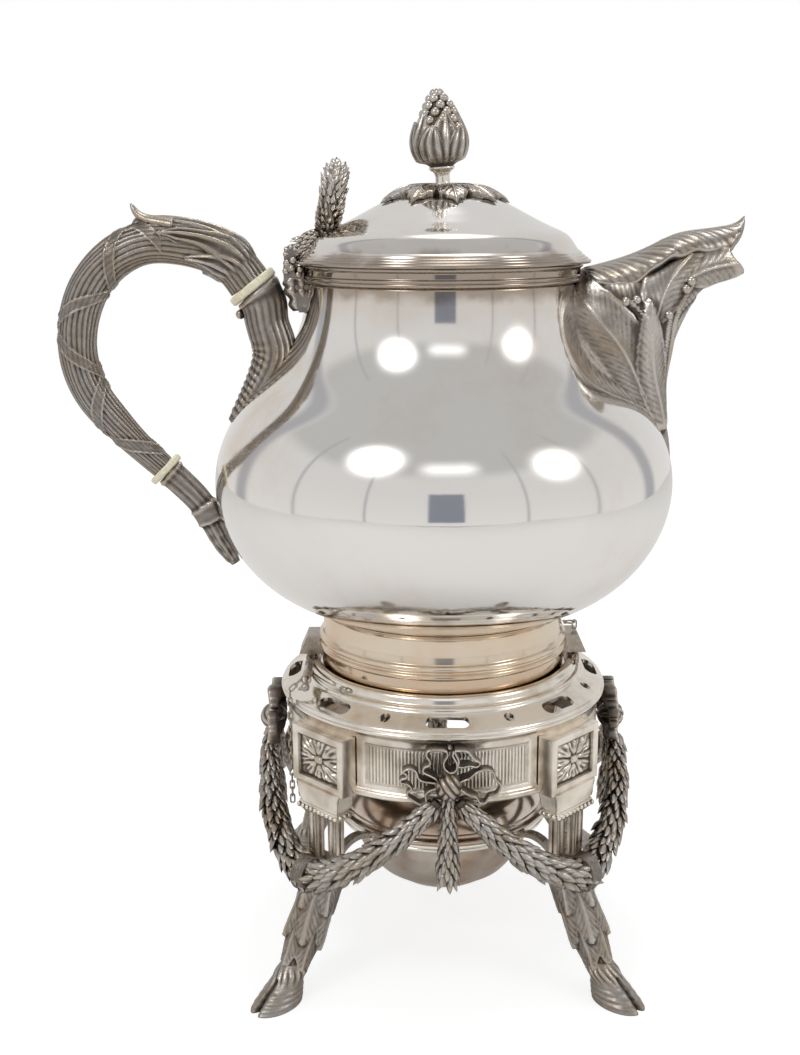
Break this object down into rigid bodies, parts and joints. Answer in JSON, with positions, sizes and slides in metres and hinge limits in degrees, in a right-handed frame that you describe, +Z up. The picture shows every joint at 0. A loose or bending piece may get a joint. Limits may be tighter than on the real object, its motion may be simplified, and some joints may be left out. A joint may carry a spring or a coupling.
{
  "type": "spirit kettle on stand",
  "caption": "Silver spirit kettle with hinged lid and side handle, tilting on pins over a pierced four-legged stand with garlands and a lift-out spirit lamp.",
  "frame": {"origin": "on the stand's vertical axis at the level of the four hoof soles", "axes": "+Z up, +X towards the spout, -X towards the handle and the lid's hinge"},
  "size_m": [0.3258, 0.2206, 0.4183],
  "materials": {
    "polished_silver": "polished",
    "cast_silver": "oxidised in the recesses",
    "insulator": "polished, ivory coloured",
    "wick": "woven"
  },
  "bodies": {
    "stand": {"stand_shoulder": "polished_silver", "stand_drum": "polished_silver", "corner_plaques": "cast_silver", "plaque_rosettes": "cast_silver", "leg_capitals": "cast_silver", "leg_posts": "polished_silver", "legs": "cast_silver", "hooves": "cast_silver", "ribbon_bows": "cast_silver", "pendant_drops": "cast_silver", "garland_a": "cast_silver", "garland_b": "cast_silver", "garland_c": "cast_silver", "garland_d": "cast_silver", "garland_ties": "cast_silver", "lamp_ring": "polished_silver", "lamp_brackets": "polished_silver", "pivot_ears": "polished_silver", "lock_ears": "polished_silver", "pivot_pin": "polished_silver", "pin_chain": "polished_silver", "chain_staple": "polished_silver"},
    "kettle": {"kettle_body": "polished_silver", "rim_collar": "polished_silver", "foot_collar": "polished_silver", "spout": "cast_silver", "spout_top_leaf": "cast_silver", "spout_tail_leaf": "cast_silver", "spout_berries": "cast_silver", "upper_socket": "cast_silver", "lower_socket": "cast_silver", "upper_insulator": "insulator", "lower_insulator": "insulator", "upper_tenon": "polished_silver", "lower_tenon": "polished_silver", "handle_grip": "cast_silver", "grip_ribbons": "cast_silver", "grip_leaf_cap": "cast_silver", "pivot_lug": "polished_silver", "lock_lug": "polished_silver", "hinge_bracket": "polished_silver", "lid_hinge_pin": "polished_silver", "foot_eye": "polished_silver", "keeper_link": "polished_silver"},
    "lid": {"lid_shell": "polished_silver", "lid_bezel": "polished_silver", "lid_hinge_leaf": "polished_silver", "thumbpiece": "cast_silver", "finial_leaves": "cast_silver", "finial_stem": "polished_silver", "finial_nut": "polished_silver", "finial_bud": "cast_silver", "finial_berries": "cast_silver"},
    "lock_pin": {"lock_pin": "polished_silver"},
    "lamp": {"lamp_bowl": "polished_silver", "lamp_cover": "polished_silver", "burner_collar": "polished_silver", "wick_tube": "polished_silver", "wick": "wick"}
  },
  "joints": [
    {"name": "kettle_tilt", "type": "hinge", "parent": "stand", "child": "kettle", "pos_m": [0.066, 0, 0.146], "axis": [0, 1, 0], "range_deg": [0, 50]},
    {"name": "lid_open", "type": "hinge", "parent": "kettle", "child": "lid", "pos_m": [-0.072, 0, 0.3381], "axis": [0, -1, 0], "range_deg": [0, 75]},
    {"name": "lock_push", "type": "slide", "parent": "stand", "child": "lock_pin", "axis": [0, 1, 0], "range_m": [0, 0.008]},
    {"name": "lamp_lift", "type": "slide", "parent": "stand", "child": "lamp", "axis": [0, 0, 1], "range_m": [0, 0.03]}
  ]
}
